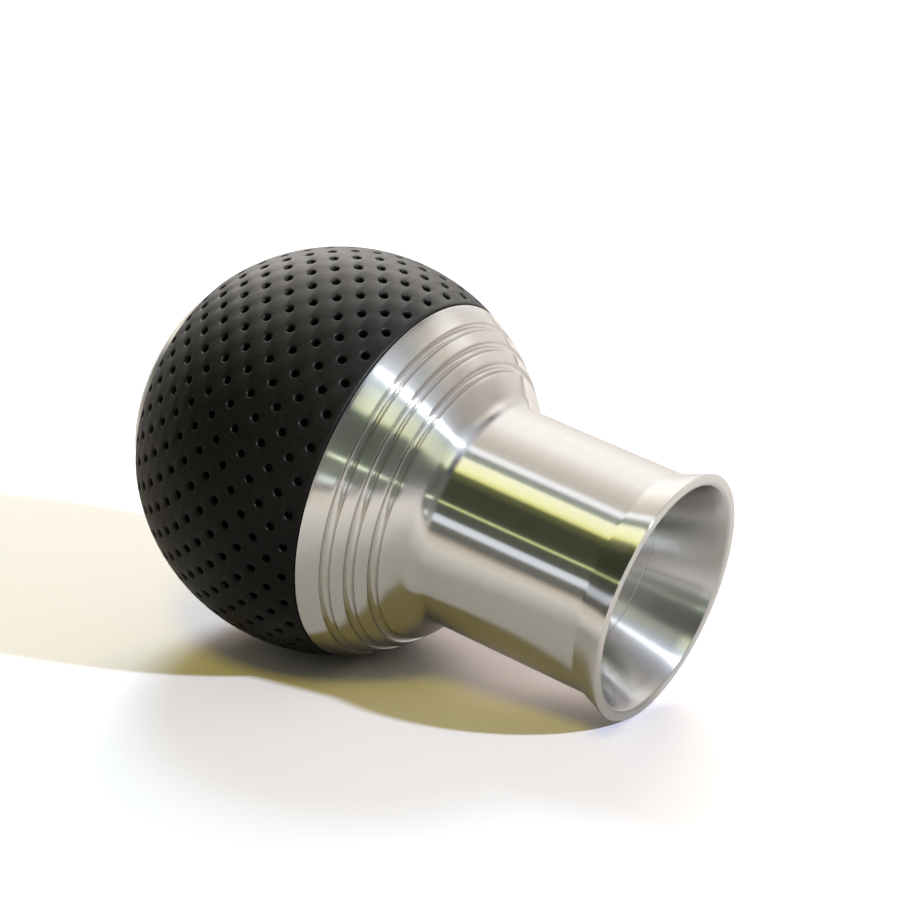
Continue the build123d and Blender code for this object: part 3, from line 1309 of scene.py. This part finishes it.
def mirrored_tones(shader, direction):
    """What the steel mirrors: bands above, level with and below the lens, and the softer zones."""
    across, along, up = shader.parts(direction)
    azimuth = shader.maths("ARCTAN2", across, along * -1.0)
    rise = shader.maths("ARCSINE", up)
    aside = abs(azimuth)
    steep = shader.fade(abs(rise), GATHER_RISE, to_high=radians(GATHER_RISE[1] - GATHER_RISE[0]))
    rate = shader.fade(rise, GATHER_SIDES, *GATHER_RATES)
    turn = azimuth / (1 + steep * steep * rate) / (2 * pi) + 0.5
    bands = []
    for surroundings in (UPPER_SURROUNDINGS, LENS_SURROUNDINGS, LOWER_SURROUNDINGS):
        stops = [((degrees + 180) / 360, tone) for degrees, tone in surroundings]
        bands.append(shader.node("ShaderNodeValToRGB", {"stops": stops}, {0: turn}))
    upper, lens, lower = bands

    flare = shader.fade(azimuth, FLARE_CHANGE, *FLARE_SHARES) * shader.fade(azimuth, FLARE_AZIMUTH)
    upper = shader.scaled(upper, flare * shader.fade(rise, FLARE_RISE) + 1.0)
    brighter = shader.fade(rise, BRIGHTER_RISE, to_high=BRIGHTER_SHARE)
    lower = shader.scaled(lower, brighter * shader.fade(aside, BRIGHTER_ASIDE) + 1.0)

    bow = shader.maths("COSINE", azimuth * COLLAR_BOW)
    over_collar = rise + bow * radians(COLLAR_DROP)
    corner = shader.fade(rise, CORNER_RISE, to_high=CORNER_SHARE)
    tone = shader.blend(shader.fade(rise, LENS_RISE), upper, lens)
    for zone, zone_tone in (
        (shader.fade(over_collar, COLLAR_RISE), lower),
        (corner * shader.fade(azimuth, CORNER_AZIMUTH), LOW_CORNER),
        (shader.fade(rise, UNDERSIDE_RISE, to_high=UNDERSIDE_SHARE), UNDERSIDE),
        (shader.fade(rise, CEILING_RISE) * shader.fade(aside, CEILING_ASIDE), CEILING),
    ):
        tone = shader.blend(zone, tone, zone_tone)
    return shader.scaled(tone, stage_settings().mirrored_strength)


def add_world():
    """Surround the knob with soft light, a white background and what its steel mirrors."""
    look = stage_settings()
    world = bpy.data.worlds.new("studio")
    bpy.context.scene.world = world
    world.cycles.sampling_method = "NONE"
    shader = Shader(world)
    direction = shader.node("ShaderNodeTexCoord", output="Generated")
    height = shader.dot(direction, floor_up())
    strength = shader.between(height, 0.0, FILL_HEIGHT, look.low_ambient, FILL_STRENGTH)
    fill = shader.scaled(look.ambient, strength)
    unscattered = shader.ray("Diffuse Depth") < 0.5
    mirrors = shader.ray("Is Glossy Ray") * unscattered
    light = shader.blend(mirrors, fill, mirrored_tones(shader, direction))
    seen = shader.blend(shader.ray("Is Camera Ray"), light, BACKGROUND)
    background = shader.node("ShaderNodeBackground", inputs={"Color": seen, "Strength": 1.0})
    shader.node("ShaderNodeOutputWorld", inputs={"Surface": background})


class KNOB_OT_stage(bpy.types.Operator):
    """Set up the camera, the floor, the lamps and the surroundings"""

    bl_idname = "knob.stage"
    bl_label = "Stage"

    def execute(self, context):
        add_camera()
        add_floor()
        for lamp in LAMPS:
            hang(lamp)
        add_world()
        context.scene.view_settings.view_transform = "Standard"
        return {"FINISHED"}


class KNOB_PT_panel(bpy.types.Panel):
    """Lists the knob's steps in the 3D view's sidebar"""

    bl_idname = "KNOB_PT_panel"
    bl_label = "Gear Lever Knob"
    bl_space_type = "VIEW_3D"
    bl_region_type = "UI"
    bl_category = "Knob"

    def draw(self, context):
        for operator in OPERATORS:
            self.layout.operator(operator.bl_idname)
        for group_name in GROUPS:
            group = getattr(context.scene, group_name)
            box = self.layout.box()
            for name in group.bl_rna.properties.keys():
                if name not in {"rna_type", "name"}:
                    box.prop(group, name)


GROUPS = {
    "knob_sizes": KnobSizes,
    "knob_holes": KnobHoles,
    "knob_finishes": KnobFinishes,
    "knob_stage": KnobStage,
}
OPERATORS = [
    KNOB_OT_steel_base,
    KNOB_OT_leather_cover,
    KNOB_OT_top_cap,
    KNOB_OT_threaded_bush,
    KNOB_OT_ball_core,
    KNOB_OT_stage,
]


def register():
    """Make the groups, the operators and the panel known to Blender."""
    for name, group in GROUPS.items():
        bpy.utils.register_class(group)
        setattr(bpy.types.Scene, name, PointerProperty(type=group))
    for operator in OPERATORS:
        bpy.utils.register_class(operator)
    bpy.utils.register_class(KNOB_PT_panel)


def unregister():
    """Take them out again."""
    bpy.utils.unregister_class(KNOB_PT_panel)
    for operator in reversed(OPERATORS):
        bpy.utils.unregister_class(operator)
    for name, group in GROUPS.items():
        delattr(bpy.types.Scene, name)
        bpy.utils.unregister_class(group)


def main():
    register()
    bpy.ops.knob.steel_base()
    bpy.ops.knob.leather_cover()
    bpy.ops.knob.top_cap()
    bpy.ops.knob.threaded_bush()
    bpy.ops.knob.ball_core()
    bpy.ops.knob.stage()


if __name__ == "__main__":
    main()
